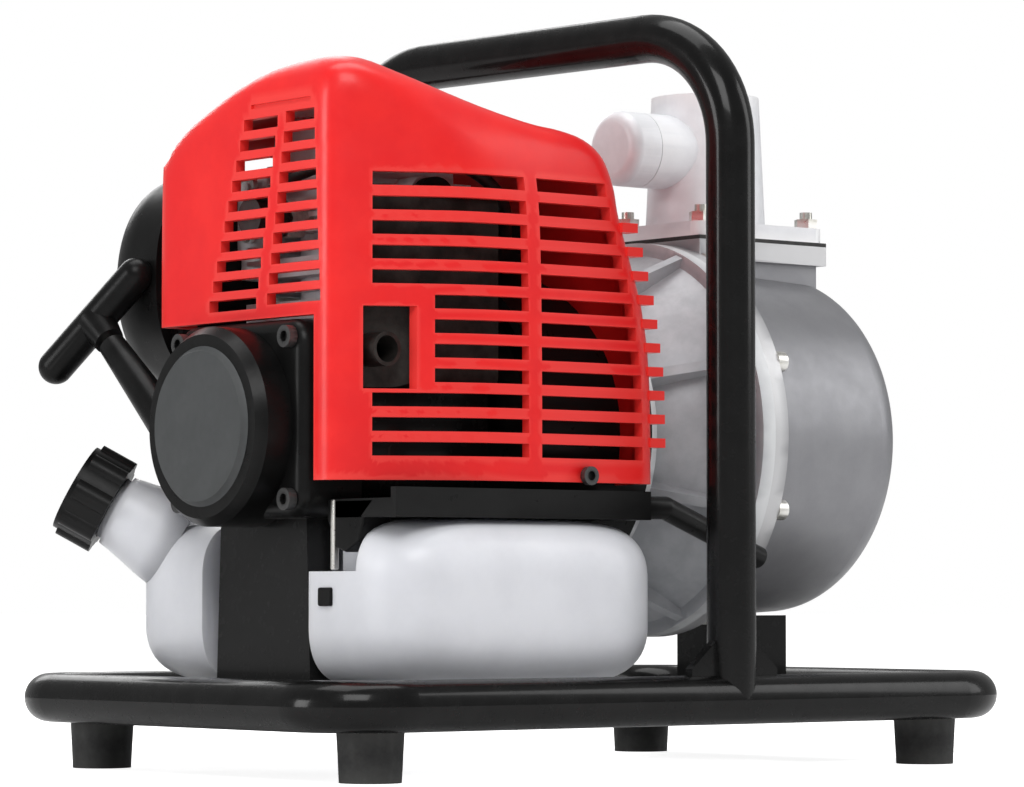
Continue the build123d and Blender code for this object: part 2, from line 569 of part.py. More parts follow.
def cover_form(inset):
    """Closed form of the cover: its side, end and plan outlines extruded and intersected."""
    x0, x1 = COVER_X0 + inset, COVER_X1 - inset
    y0, y1 = COVER_Y0 + inset, COVER_Y1 - inset
    with BuildPart() as form:
        with BuildSketch(Plane.XZ.offset(-100)):
            with BuildLine():
                Polyline((x1 - 1, 226), (x1, 60), (x0, 60), (x0, 222))
                Spline((x0, 222), (-97, COVER_PEAK_Z - inset), (-50, 264 - inset), (-14, 254 - inset),
                       (x1 - 1, 226), tangents=[(0, 1), (0.1, -1)])
            make_face()
        extrude(amount=200)
        with BuildSketch(Plane.YZ.offset(-200)):
            with BuildLine():
                Polyline((y1, 226), (y1, 60), (y0, 60), (y0 + 3, 190))
                Spline((y0 + 3, 190), (-66 + inset, 236), (0, COVER_PEAK_Z + 1 - inset), (40 - inset, 258),
                       (y1, 226), tangents=[(0.05, 1), (0, -1)])
            make_face()
        extrude(amount=400, mode=Mode.INTERSECT)
        with BuildSketch(Plane.XY.offset(50)):
            with BuildLine():
                Polyline((x1, y0 + 5), (x1, y1), (x0, y1), (x0, -50 + inset / 2))
                Spline((x0, -50 + inset / 2), (-112 + inset / 2, -69 + inset), (-60, y0 + 1), (x1, y0 + 5),
                       tangents=[(1, -0.75), (1, 0.15)])
            make_face()
            fillet(vertices(), 6)
        extrude(amount=300, mode=Mode.INTERSECT)
    return form


SLOT_PITCH, SLOT_H = 9.2, 5.2
SWITCH_Z = 215.0
with BuildPart() as cover_openings:
    block((-200, -120, 0), (50, 120, COVER_BOTTOM))
    block((-200, -48, 0), (-118, 120, 173))
    block((-120, 30, 0), (-50, 120, 243))
    block((0, -70, 0), (20, 60, 215))
    block((-52, 30, 0), (20, 60, 203))
    rod((-36, -95, 113.5), (-36, -70, 113.5), 2.0)
    block((OUTLET_X - 9, -110, OUTLET_Z - 15), (OUTLET_X + 9, -50, OUTLET_Z + 16))
    block((-28, 40, SWITCH_Z - 7), (-12, 70, SWITCH_Z + 7))
    for row in range(12):
        slot_z = 120 + row * SLOT_PITCH
        beside_outlet = abs(slot_z - OUTLET_Z) < 2 * SLOT_PITCH
        block((-57, -110, slot_z), (-2, -60, slot_z + SLOT_H))
        block((-101 if beside_outlet else -122, -110, slot_z), (-63, -56, slot_z + SLOT_H))
    for row in range(8):
        slot_z = 178 + row * 7.6
        block((-150, 8, slot_z), (-130, 36, slot_z + 4.4))
        block((-150, -28, slot_z + 2), (-130, 2, slot_z + 6.4))
top_shell = cover_form(0).part - cover_form(COVER_WALL).part
with BuildPart() as top_cover:
    add(top_shell - cover_openings.part)
write(top_cover, "top_cover")

with BuildPart() as engine_switch:
    block((-27.5, COVER_Y1 - 8, SWITCH_Z - 6.5), (-12.5, COVER_Y1 - 1, SWITCH_Z + 6.5))
    rod((-27.5, COVER_Y1 - 3, SWITCH_Z), (-12.5, COVER_Y1 - 3, SWITCH_Z), 5)
    fillet(engine_switch.edges().filter_by(Axis.X).group_by(Axis.Y)[0], 1)
write(engine_switch, "engine_switch")

# Recoil starter -------------------------------------------------------------------------
DRUM_R, DRUM_X0 = 38.0, -155.0
RECOIL_SCREWS = ((-37, 104), (-37, 165), (33, 165), (33, 104))
ARM_NEAR = ROPE_START + ROPE_DIR * 26
ARM_TIP = ROPE_START + ROPE_DIR * 84
with BuildPart() as recoil_housing:
    block((-140, -44, 97), (CASE_X0, 40, 172))
    fillet(recoil_housing.edges().filter_by(Axis.X), 10)
    fillet(recoil_housing.faces().sort_by(Axis.X)[0].edges(), 5)
    along_x(DRUM_X0 + 4, -130, DRUM_R)
    along_x(DRUM_X0, DRUM_X0 + 4, DRUM_R - 3, end_radius=DRUM_R)
    rod(ARM_NEAR, ARM_TIP, 8, end_radius=5.5)
    along_x(-149, CASE_X0, 33, mode=Mode.SUBTRACT)
    along_x(DRUM_X0, DRUM_X0 + 1.5, 30.5, mode=Mode.SUBTRACT)
    along_x(-149, -135, 6)
    rod(ROPE_START, ARM_TIP + ROPE_DIR, 2.6, mode=Mode.SUBTRACT)
    for y, z in RECOIL_SCREWS:
        rod((-141, y, z), (CASE_X0, y, z), 2.5, mode=Mode.SUBTRACT)
write(recoil_housing, "recoil_housing")

with BuildPart() as recoil_emblem:
    along_x(DRUM_X0, DRUM_X0 + 1.5, 30.5)
    along_x(DRUM_X0 - 2, DRUM_X0, 28.5, end_radius=30.5)
write(recoil_emblem, "recoil_emblem")

with BuildPart() as starter_reel:
    along_x(REEL_X - 6, REEL_X - 4, 31)
    along_x(REEL_X - 4, REEL_X + 4, 22.5)
    along_x(REEL_X + 4, REEL_X + 6, 31)
    along_x(REEL_X - 7, REEL_X + 7, 6 + RUN_GAP, mode=Mode.SUBTRACT)
    along_x(REEL_X + 2, REEL_X + 7, 18, mode=Mode.SUBTRACT)
write(starter_reel, "starter_reel")


def spiral(turns, r0, r1, steps):
    """Points of a flat spiral about the crankshaft axis."""
    points = []
    for step in range(steps + 1):
        share = step / steps
        angle = 2 * math.pi * turns * share
        radius = r0 + (r1 - r0) * share
        points.append((radius * math.cos(angle), AXIS_Z + radius * math.sin(angle)))
    return points


with BuildPart() as recoil_spring:
    with BuildSketch(Plane.YZ.offset(REEL_X + 2.3)):
        with BuildLine():
            inner_edge = Spline(*spiral(4, 7.5, 16.4, 48))
            outer_edge = Spline(*spiral(4, 8.1, 17.0, 48))
            Line(inner_edge @ 0, outer_edge @ 0)
            Line(inner_edge @ 1, outer_edge @ 1)
        make_face()
    extrude(amount=3)
write(recoil_spring, "recoil_spring")

with BuildPart() as starter_rope:
    rod(ROPE_START + ROPE_DIR * 2, ARM_TIP + ROPE_DIR * 3, ROPE_R)
    with BuildSketch(Plane.YZ.offset(REEL_X - 3)):
        with Locations((0, AXIS_Z)):
            Circle(REEL_GROOVE_R + ROPE_R)
            Circle(22.6, mode=Mode.SUBTRACT)
    extrude(amount=6)
write(starter_rope, "starter_rope")

BAR_DIR = Vector(-0.353, 0.60, -0.71).normalized()
GRIP_FOOT = ARM_TIP + ROPE_DIR * 3
with BuildPart() as starter_grip:
    centre = GRIP_FOOT + ROPE_DIR * 13
    rod(GRIP_FOOT, centre, 6, end_radius=8)
    rod(centre - BAR_DIR * 25, centre + BAR_DIR * 25, 7)
    for side in (-1, 1):
        with Locations(centre + BAR_DIR * 25 * side):
            Sphere(7)
write(starter_grip, "starter_grip")

# Pump -------------------------------------------------------------------------------------
FLANGE_X0, FLANGE_SPLIT, FLANGE_X1, FLANGE_R = 60.0, 66.0, 73.0, 81.0
with BuildPart() as casing_bolts:
    for step in range(8):
        angle = math.radians(45 * step + 22.5)
        spot = (FLANGE_X1, 77.5 * math.cos(angle), AXIS_Z + 77.5 * math.sin(angle))
        screw(spot, (-1, 0, 0), 2.0, 4.2, 5, 12, socket=False)
write(casing_bolts, "casing_bolts")

with BuildPart() as pump_bracket:
    ring_x(14, 20, FAN_R + 4, 16)
    along_x(20, FLANGE_X0, 48, end_radius=PUMP_R)
    along_x(16, FLANGE_X0 - 6, 42, mode=Mode.SUBTRACT, end_radius=PUMP_R - 6)
    along_x(FLANGE_X0 - 0.5, FLANGE_SPLIT, FLANGE_R)
    for rib in range(8):
        angle = rib * 45 + 22.5
        with BuildSketch(Plane(origin=(0, 0, AXIS_Z), x_dir=(1, 0, 0),
                               z_dir=(0, -math.sin(math.radians(angle)), math.cos(math.radians(angle))))):
            with BuildLine():
                Polyline((20, 44), (20, 61), (FLANGE_X0, FLANGE_R - 1), (FLANGE_X0, 72), close=True)
            make_face()
        extrude(amount=2, both=True)
    along_x(50, 70, BEARING_BORE_R + 3, mode=Mode.SUBTRACT)
    along_x(10, 30, 16, mode=Mode.SUBTRACT)
    add(casing_bolts.part, mode=Mode.SUBTRACT)
write(pump_bracket, "pump_bracket")

with BuildPart() as shaft_seal:
    ring_x(FLANGE_SPLIT - 6, FLANGE_SPLIT + 4, BEARING_BORE_R + 3, BEARING_BORE_R + RUN_GAP)
    ring_x(FLANGE_SPLIT, FLANGE_SPLIT + 4, 13, BEARING_BORE_R + RUN_GAP)
write(shaft_seal, "shaft_seal")

CASING_X1, CASING_WALL = 150.0, 5.0
NECK_X0, NECK_X1, NECK_Y, NECK_Z = 72.0, 140.0, 26.0, 214.0
SUCTION_TIP = 172.0
FLAP_HINGE_Z = SUCTION_Z + 21
with BuildPart() as pump_casing:
    along_x(FLANGE_SPLIT, FLANGE_X1, FLANGE_R)
    along_x(FLANGE_X1 - 1, CASING_X1, PUMP_R - 2, end_radius=PUMP_R - 6)
    fillet(pump_casing.edges().filter_by(GeomType.CIRCLE).sort_by(Axis.X)[-1], 16)
    block((NECK_X0 + 2, -NECK_Y, AXIS_Z), (NECK_X1, NECK_Y, NECK_Z - 8))
    block((NECK_X0, -NECK_Y - 3, NECK_Z - 8), (NECK_X1 + 3, NECK_Y + 3, NECK_Z))
    along_x(FLANGE_SPLIT, CASING_X1 - CASING_WALL, PUMP_R - 10, mode=Mode.SUBTRACT)
    block((NECK_X0 + 8, -NECK_Y + 5, AXIS_Z), (NECK_X1 - 6, NECK_Y - 5, NECK_Z - 7), mode=Mode.SUBTRACT)
    along_x(CASING_X1 - CASING_WALL, SUCTION_TIP - 12, 25, z=SUCTION_Z, end_radius=22)
    rod((TOWER_X, 0, NECK_Z - 10), (TOWER_X, 0, NECK_Z), 13, mode=Mode.SUBTRACT)
    along_x(CASING_X1 - CASING_WALL - 1, SUCTION_TIP, PORT_R, z=SUCTION_Z, mode=Mode.SUBTRACT)
    along_x(CASING_X1 - 6, CASING_X1 + 4, 11, z=78)
    along_x(CASING_X1 - 10, CASING_X1 + 5, 7, z=78, mode=Mode.SUBTRACT)
    for side in (-1, 1):
        with BuildSketch(Plane.XZ.offset(-side * 9.5)):
            with Locations((142.5, FLAP_HINGE_Z)):
                Circle(3.2)
            with Locations((145, FLAP_HINGE_Z)):
                Rectangle(4, 5)
        extrude(amount=1.8, both=True)
    rod((142.5, -14, FLAP_HINGE_Z), (142.5, 14, FLAP_HINGE_Z), 2 + RUN_GAP, mode=Mode.SUBTRACT)
    add(casing_bolts.part, mode=Mode.SUBTRACT)
write(pump_casing, "pump_casing")

with BuildPart() as suction_port:
    with BuildSketch(Plane.YZ.offset(SUCTION_TIP - 12)):
        with Locations((0, SUCTION_Z)):
            RegularPolygon(25, 8)
            Circle(PORT_R, mode=Mode.SUBTRACT)
    extrude(amount=12)
write(suction_port, "suction_port")

VOLUTE_X0, VOLUTE_X1 = 71.0, 104.0
with BuildPart() as volute:
    along_x(VOLUTE_X0, VOLUTE_X1, 54)
    along_x(VOLUTE_X0 - 1, VOLUTE_X1 - 4, 50, mode=Mode.SUBTRACT)
    along_x(VOLUTE_X1 - 5, VOLUTE_X1 + 8, 18)
    along_x(VOLUTE_X1 - 6, VOLUTE_X1 + 9, 14, mode=Mode.SUBTRACT)
    rod((87, 20, AXIS_Z), (87, 20, AXIS_Z + 60), 9, mode=Mode.SUBTRACT)
write(volute, "volute")

with BuildPart() as impeller:
    along_x(76, 79, 42)
    along_x(76, 90, 10)
    for vane in range(6):
        with Locations(Location((84.5, 0, AXIS_Z), (vane * 60, 0, 0))):
            with Locations(Location((0, 24, 6), (-28, 0, 0))):
                Box(11, 32, 3)
    along_x(70, 86, BEARING_BORE_R, mode=Mode.SUBTRACT)
write(impeller, "impeller")

with BuildPart() as check_valve_flap:
    along_x(140.5, 144.5, 19, z=SUCTION_Z)
    block((140.5, -7, SUCTION_Z), (144.5, 7, FLAP_HINGE_Z - 1))
    for side in (-1, 1):
        block((140, min(side * 7, side * 20), SUCTION_Z + 14), (146, max(side * 7, side * 20), SUCTION_Z + 22),
              mode=Mode.SUBTRACT)
    rod((142.5, -11, FLAP_HINGE_Z), (142.5, 11, FLAP_HINGE_Z), 2)
write(check_valve_flap, "check_valve_flap")

GASKET_T = 1.6
FLANGE_TOP = NECK_Z + GASKET_T + 6
with BuildPart() as discharge_gasket:
    block((NECK_X0, -NECK_Y - 3, NECK_Z), (NECK_X1 + 3, NECK_Y + 3, NECK_Z + GASKET_T))
    rod((TOWER_X, 0, NECK_Z - 1), (TOWER_X, 0, NECK_Z + 3), 13, mode=Mode.SUBTRACT)
write(discharge_gasket, "discharge_gasket")

PLUG_Z, PLUG_SEAT_X = 252.0, 64.0
TOWER_TOP = 276.0
with BuildPart() as discharge_port:
    block((NECK_X0, -NECK_Y - 3, NECK_Z + GASKET_T), (NECK_X1 + 3, NECK_Y + 3, FLANGE_TOP))
    fillet(discharge_port.edges().filter_by(Axis.Z), 6)
    rod((TOWER_X, 0, FLANGE_TOP), (TOWER_X, 0, TOWER_TOP), 25, end_radius=22.5)
    along_x(PLUG_SEAT_X, TOWER_X, 15.5, z=PLUG_Z)
    rod((TOWER_X, 0, NECK_Z), (TOWER_X, 0, TOWER_TOP - 16), 13, mode=Mode.SUBTRACT)
    rod((TOWER_X, 0, TOWER_TOP - 16), (TOWER_X, 0, TOWER_TOP), PORT_R, mode=Mode.SUBTRACT)
    along_x(PLUG_SEAT_X, TOWER_X, 10, z=PLUG_Z, mode=Mode.SUBTRACT)
write(discharge_port, "discharge_port")

with BuildPart() as discharge_bolts:
    for bolt_x in (NECK_X0 + 6, NECK_X1 - 3):
        for bolt_y in (-NECK_Y + 3, NECK_Y - 3):
            with BuildSketch(Plane.XY.offset(FLANGE_TOP)):
                with Locations((bolt_x, bolt_y)):
                    RegularPolygon(5, 6)
            extrude(amount=4)
            rod((bolt_x, bolt_y, FLANGE_TOP + 4), (bolt_x, bolt_y, FLANGE_TOP + 7), 2.6)
write(discharge_bolts, "discharge_bolts")

with BuildPart() as priming_plug:
    along_x(PLUG_SEAT_X - 15, PLUG_SEAT_X - FREE_GAP, 15.5, z=PLUG_Z)
    fillet(priming_plug.edges().filter_by(GeomType.CIRCLE).sort_by(Axis.X)[0], 5)
    along_x(PLUG_SEAT_X - 1, PLUG_SEAT_X + 14, 10 - RUN_GAP, z=PLUG_Z)
write(priming_plug, "priming_plug")

with BuildPart() as drain_plug:
    along_x(CASING_X1 - 9, CASING_X1 + 5, 7 - RUN_GAP, z=78)
    with BuildSketch(Plane.YZ.offset(CASING_X1 + 4 + FREE_GAP)):
        with Locations((0, 78)):
            RegularPolygon(10, 6)
    extrude(amount=6)
write(drain_plug, "drain_plug")

with BuildPart() as cover_screws:
    for y, z in RECOIL_SCREWS:
        screw((-140, y, z), (1, 0, 0), 2.5, 4.2, 3.5, 26)
    screw((-36, -86, 113.5), (0, 1, 0), 2.0, 3.6, 2.5, 8)
write(cover_screws, "cover_screws")
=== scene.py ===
"""Looks of the portable pump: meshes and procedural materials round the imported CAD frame."""
import json
import math
import bpy
import numpy as np
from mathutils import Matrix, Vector


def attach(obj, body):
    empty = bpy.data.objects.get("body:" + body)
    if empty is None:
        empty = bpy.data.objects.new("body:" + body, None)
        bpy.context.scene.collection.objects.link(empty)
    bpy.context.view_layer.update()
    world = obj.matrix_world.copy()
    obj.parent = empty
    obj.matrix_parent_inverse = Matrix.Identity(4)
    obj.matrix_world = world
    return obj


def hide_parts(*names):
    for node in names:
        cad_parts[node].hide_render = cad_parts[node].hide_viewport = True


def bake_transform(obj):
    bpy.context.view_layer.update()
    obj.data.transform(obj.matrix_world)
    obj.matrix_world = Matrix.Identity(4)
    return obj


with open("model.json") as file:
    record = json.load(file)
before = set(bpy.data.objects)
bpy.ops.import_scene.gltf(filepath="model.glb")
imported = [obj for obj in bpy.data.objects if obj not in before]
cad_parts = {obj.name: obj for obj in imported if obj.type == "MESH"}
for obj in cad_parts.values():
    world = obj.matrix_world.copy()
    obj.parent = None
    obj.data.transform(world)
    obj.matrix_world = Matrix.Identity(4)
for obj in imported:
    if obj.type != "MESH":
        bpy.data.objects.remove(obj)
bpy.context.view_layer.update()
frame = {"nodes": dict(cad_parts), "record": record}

MM = 0.001
NODES = frame["nodes"]
SLOT_OF = {entry["node"]: entry["material_slot"] for entry in frame["record"]["subparts"]}


# Materials ---------------------------------------------------------------------------------
def graph(name):
    """A new material with its tree and its Principled shader."""
    material = bpy.data.materials.new(name)
    material.use_nodes = True
    tree = material.node_tree
    return material, tree, tree.nodes["Principled BSDF"]


def noise(tree, scale, detail=4.0, rough=0.55, stretch=None):
    """Noise over object coordinates, scale in features per metre."""
    coords = tree.nodes.new("ShaderNodeTexCoord")
    field = tree.nodes.new("ShaderNodeTexNoise")
    field.inputs["Scale"].default_value = scale
    field.inputs["Detail"].default_value = detail
    field.inputs["Roughness"].default_value = rough
    source = coords.outputs["Object"]
    if stretch:
        mapping = tree.nodes.new("ShaderNodeMapping")
        mapping.inputs["Scale"].default_value = stretch
        tree.links.new(source, mapping.inputs["Vector"])
        source = mapping.outputs["Vector"]
    tree.links.new(source, field.inputs["Vector"])
    return field.outputs["Fac"]


def ramp(tree, source, stops):
    """Colour ramp of (position, grey or colour) stops."""
    node = tree.nodes.new("ShaderNodeValToRGB")
    while len(node.color_ramp.elements) < len(stops):
        node.color_ramp.elements.new(0.5)
    for element, (position, value) in zip(node.color_ramp.elements, stops):
        colour = (value,) * 3 if isinstance(value, (int, float)) else value
        element.position = position
        element.color = (*colour, 1.0)
    tree.links.new(source, node.inputs["Fac"])
    return node.outputs["Color"]


def blend_colours(tree, mask, first, second):
    """Mix two colours, or colour outputs, by a mask output."""
    node = tree.nodes.new("ShaderNodeMix")
    node.data_type = "RGBA"
    tree.links.new(mask, node.inputs[0])
    for socket, value in ((node.inputs[6], first), (node.inputs[7], second)):
        if isinstance(value, bpy.types.NodeSocket):
            tree.links.new(value, socket)
        else:
            socket.default_value = (*value, 1.0)
    return node.outputs[2]


def bump(tree, shader, layers):
    """Stack of bump layers, each (height output, distance in metres, strength)."""
    normal = None
    for height, distance, strength in layers:
        node = tree.nodes.new("ShaderNodeBump")
        node.inputs["Distance"].default_value = distance
        node.inputs["Strength"].default_value = strength
        tree.links.new(height, node.inputs["Height"])
        if normal:
            tree.links.new(normal, node.inputs["Normal"])
        normal = node.outputs["Normal"]
    tree.links.new(normal, shader.inputs["Normal"])


def worn_and_lit_edge_mask(tree, low=0.53, high=0.62):
    """Mask that is bright on convex edges, for wear and a painted edge highlight."""
    geometry = tree.nodes.new("ShaderNodeNewGeometry")
    return ramp(tree, geometry.outputs["Pointiness"], [(low, 0.0), (high, 1.0)])


def surface(name, colour, other, scale, rough, grain, metallic=0.0, coat=0.0, coat_rough=0.05, specular=0.5,
            worn_and_lit_edge_tone=None, stretch=None, subsurface=0.0):
    """General finish: two mixed tones, uneven roughness, grain bump and optional lighter edges, partly wear
    and partly a painted highlight.

    rough is (low, high); grain is a list of (scale, distance in mm, strength)."""
    material, tree, shader = graph(name)
    patches = ramp(tree, noise(tree, scale, 5.0, 0.6, stretch), [(0.4, 0.0), (0.62, 1.0)])
    base = blend_colours(tree, patches, colour, other)
    # Convex edges get a lighter tone: partly wear, partly a painted highlight where edges catch the light.
    if worn_and_lit_edge_tone:
        base = blend_colours(tree, worn_and_lit_edge_mask(tree), base, worn_and_lit_edge_tone)
    tree.links.new(base, shader.inputs["Base Color"])
    roughness = ramp(tree, noise(tree, scale * 3.1, 4.0, 0.6, stretch), [(0.3, rough[0]), (0.7, rough[1])])
    tree.links.new(roughness, shader.inputs["Roughness"])
    bump(tree, shader, [(noise(tree, s, 3.0, 0.5, stretch), d * MM, k) for s, d, k in grain])
    shader.inputs["Metallic"].default_value = metallic
    shader.inputs["Coat Weight"].default_value = coat
    shader.inputs["Coat Roughness"].default_value = coat_rough
    shader.inputs["Specular IOR Level"].default_value = specular
    if subsurface:
        shader.inputs["Subsurface Weight"].default_value = subsurface
        shader.inputs["Subsurface Radius"].default_value = (0.6, 0.6, 0.65)
        shader.inputs["Subsurface Scale"].default_value = 0.012
    return material


MATERIALS = {
    "black_frame": surface(
        "black_powder_coat", (0.004, 0.004, 0.004), (0.007, 0.007, 0.007), 60, (0.2, 0.3),
        [(900, 0.05, 0.12), (140, 0.12, 0.06)], coat=0.22, coat_rough=0.1, specular=0.1,
        worn_and_lit_edge_tone=(0.014, 0.014, 0.014)),
    "black_plastic": surface(
        "black_moulded_plastic", (0.004, 0.004, 0.004), (0.007, 0.007, 0.007), 50, (0.26, 0.38),
        [(2600, 0.02, 0.3), (220, 0.05, 0.1)], specular=0.14, worn_and_lit_edge_tone=(0.012, 0.012, 0.012)),
    "grey_plastic": surface(
        "grey_badge_plastic", (0.036, 0.039, 0.040), (0.042, 0.045, 0.046), 90, (0.5, 0.6),
        [(3200, 0.02, 0.35)], worn_and_lit_edge_tone=(0.07, 0.075, 0.08)),
    "red_plastic": surface(
        "red_moulded_plastic", (0.78, 0.012, 0.014), (0.84, 0.017, 0.016), 34, (0.3, 0.42),
        [(1800, 0.02, 0.2), (90, 0.12, 0.06)], coat=0.15, coat_rough=0.2, specular=0.3,
        worn_and_lit_edge_tone=(0.84, 0.04, 0.035)),
    "switch_plastic": surface(
        "switch_plastic", (0.03, 0.03, 0.032), (0.05, 0.05, 0.052), 120, (0.4, 0.55), [(3000, 0.02, 0.3)]),
    "tank_plastic": surface(
        "tank_translucent_plastic", (0.70, 0.71, 0.75), (0.76, 0.77, 0.81), 22, (0.28, 0.42),
        [(1200, 0.03, 0.2), (60, 0.3, 0.15)], subsurface=0.35),
    "cast_aluminium": surface(
        "sand_cast_aluminium", (0.78, 0.785, 0.81), (0.82, 0.825, 0.85), 130, (0.42, 0.52),
        [(1500, 0.06, 0.3), (300, 0.08, 0.1)], metallic=0.12, worn_and_lit_edge_tone=(0.9, 0.9, 0.91)),
    # Darker copy of the pump's metal: painted shade. Its tower and plug take the lighter cast_aluminium as
    # painted light.
    "pump_aluminium": surface(
        "painted_silver_casting", (0.25, 0.25, 0.265), (0.275, 0.275, 0.29), 60, (0.4, 0.48),
        [(1300, 0.06, 0.25), (200, 0.08, 0.08)], metallic=0.6, coat=0.1, coat_rough=0.3,
        worn_and_lit_edge_tone=(0.6, 0.6, 0.61)),
    # A middle tone of the same pump metal, between the lit and the shaded copy: painted light and shade.
    "bracket_casting": surface(
        "grey_bracket_casting", (0.38, 0.39, 0.41), (0.44, 0.45, 0.47), 110, (0.42, 0.54),
        [(1500, 0.06, 0.3), (300, 0.08, 0.12)], metallic=0.3, worn_and_lit_edge_tone=(0.72, 0.73, 0.74)),
    "zinc_steel": surface(
        "zinc_plated_steel", (0.55, 0.54, 0.5), (0.68, 0.66, 0.6), 400, (0.25, 0.42),
        [(2500, 0.03, 0.3)], metallic=1.0, worn_and_lit_edge_tone=(0.8, 0.79, 0.76)),
    "bearing_steel": surface(
        "ground_steel", (0.5, 0.5, 0.5), (0.62, 0.62, 0.63), 300, (0.15, 0.3),
        [(2500, 0.02, 0.2)], metallic=1.0, stretch=(0.2, 1.0, 1.0)),
    # Near black: partly the muffler's heat-darkened steel, partly painted shade for the dark seen through
    # the louvres.
    "heat_steel": surface(
        "dark_steel_heat_tint_and_painted_shade", (0.022, 0.019, 0.017), (0.05, 0.044, 0.04), 80, (0.45, 0.6),
        [(1600, 0.04, 0.3)], metallic=0.7),
    "black_screw": surface(
        "blackened_screw", (0.012, 0.012, 0.012), (0.02, 0.02, 0.02), 400, (0.3, 0.45),
        [(2500, 0.03, 0.3)], metallic=0.6, worn_and_lit_edge_tone=(0.08, 0.08, 0.08)),
    "rubber": surface(
        "foot_rubber", (0.012, 0.012, 0.012), (0.022, 0.022, 0.021), 160, (0.6, 0.75),
        [(2200, 0.05, 0.4)], worn_and_lit_edge_tone=(0.05, 0.05, 0.048)),
    "hose_rubber": surface(
        "hose_rubber", (0.014, 0.014, 0.014), (0.024, 0.024, 0.024), 200, (0.45, 0.6), [(2600, 0.03, 0.3)]),
    "bulb_rubber": surface(
        "bulb_silicone", (0.30, 0.29, 0.25), (0.38, 0.37, 0.33), 120, (0.3, 0.42),
        [(1500, 0.02, 0.2)], subsurface=0.3),
    "filter_foam": surface(
        "filter_foam", (0.02, 0.02, 0.02), (0.06, 0.06, 0.06), 900, (0.8, 0.95), [(1100, 0.6, 0.8)]),
    "rope_fibre": surface(
        "starter_cord_fibre", (0.62, 0.6, 0.55), (0.75, 0.73, 0.68), 700, (0.7, 0.85),
        [(900, 0.3, 0.8)], stretch=(1.0, 2.5, 2.5)),
    "gasket": surface(
        "gasket_sheet", (0.02, 0.02, 0.02), (0.035, 0.034, 0.032), 500, (0.6, 0.8), [(1800, 0.05, 0.4)]),
}


# Mesh helpers --------------------------------------------------------------------------------
def new_object(name, verts, faces, slot, body="chassis", smooth=True):
    """Mesh object from points in millimetres, riding on a body."""
    mesh = bpy.data.meshes.new(name)
    mesh.from_pydata([tuple(MM * c for c in v) for v in verts], [], faces)
    mesh.validate()
    mesh.update()
    obj = bpy.data.objects.new(name, mesh)
    bpy.context.scene.collection.objects.link(obj)
    mesh.materials.append(MATERIALS[slot])
    if smooth:
        mesh.polygons.foreach_set("use_smooth", [True] * len(mesh.polygons))
    if body:
        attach(obj, body)
    return obj


def soften(obj, width, segments=2, angle=32.0):
    """Small rounded edges with clean shading."""
    edge = obj.modifiers.new("rounded_edges", "BEVEL")
    edge.width = width * MM
    edge.segments = segments
    edge.limit_method = "ANGLE"
    edge.angle_limit = math.radians(angle)
    edge.harden_normals = True
    edge.use_clamp_overlap = True
    obj.data.polygons.foreach_set("use_smooth", [True] * len(obj.data.polygons))


def apply_modifiers(obj):
    """Make the evaluated mesh the object's own mesh."""
    depsgraph = bpy.context.evaluated_depsgraph_get()
    mesh = bpy.data.meshes.new_from_object(obj.evaluated_get(depsgraph))
    old = obj.data
    obj.modifiers.clear()
    obj.data = mesh
    bpy.data.meshes.remove(old)


def cut(obj, tool, operation="DIFFERENCE"):
    """Boolean with a tool object, which is then deleted."""
    boolean = obj.modifiers.new("cut", "BOOLEAN")
    boolean.operation = operation
    boolean.solver = "EXACT"
    boolean.object = tool
    apply_modifiers(obj)
    bpy.data.objects.remove(tool)


def boxes(name, spans):
    """One tool object of separate boxes, each ((x0, y0, z0), (x1, y1, z1)) in millimetres."""
    verts = []
    faces = []
    for low, high in spans:
        start = len(verts)
        for k in range(8):
            verts.append(tuple((high if k >> axis & 1 else low)[axis] for axis in range(3)))
        for face in ((0, 2, 3, 1), (4, 5, 7, 6), (0, 1, 5, 4), (2, 6, 7, 3), (0, 4, 6, 2), (1, 3, 7, 5)):
            faces.append(tuple(start + k for k in face))
    return new_object(name, verts, faces, "red_plastic", body=None, smooth=False)


# Smooth closed forms --------------------------------------------------------------------------
def curve_through(points, per_span=12):
    """Closed Catmull-Rom curve through a given outline; a doubled point makes a corner."""
    pts = np.array(points, float)
    count = len(pts)
    out = []
    for k in range(count):
        p0, p1, p2, p3 = (pts[(k + j) % count] for j in (-1, 0, 1, 2))
        for t in np.linspace(0, 1, per_span, endpoint=False):
            out.append(0.5 * ((2 * p1) + (p2 - p0) * t + (2 * p0 - 5 * p1 + 4 * p2 - p3) * t * t
                              + (3 * p1 - p0 - 3 * p2 + p3) * t ** 3))
    return np.array(out)


def outline_distance(points, outline):
    """Signed distance of points to a closed outline, negative inside."""
    a = outline
    b = np.roll(outline, -1, axis=0)
    best = np.full(len(points), 1e9)
    inside = np.zeros(len(points), bool)
    for (ax, ay), (bx, by) in zip(a, b):
        dx, dy = bx - ax, by - ay
        length = dx * dx + dy * dy
        if length < 1e-12:
            continue
        px, py = points[:, 0] - ax, points[:, 1] - ay
        t = np.clip((px * dx + py * dy) / length, 0, 1)
        best = np.minimum(best, (px - t * dx) ** 2 + (py - t * dy) ** 2)
        crosses = ((ay > points[:, 1]) != (by > points[:, 1]))
        if dy:
            inside ^= crosses & (points[:, 0] < (points[:, 1] - ay) * dx / dy + ax)
    return np.where(inside, -1, 1) * np.sqrt(best)


def round_max(a, b, radius):
    """Largest of two distances with the crease rounded."""
    h = np.maximum(radius - np.abs(a - b), 0) / radius
    return np.maximum(a, b) + h * h * radius * 0.25


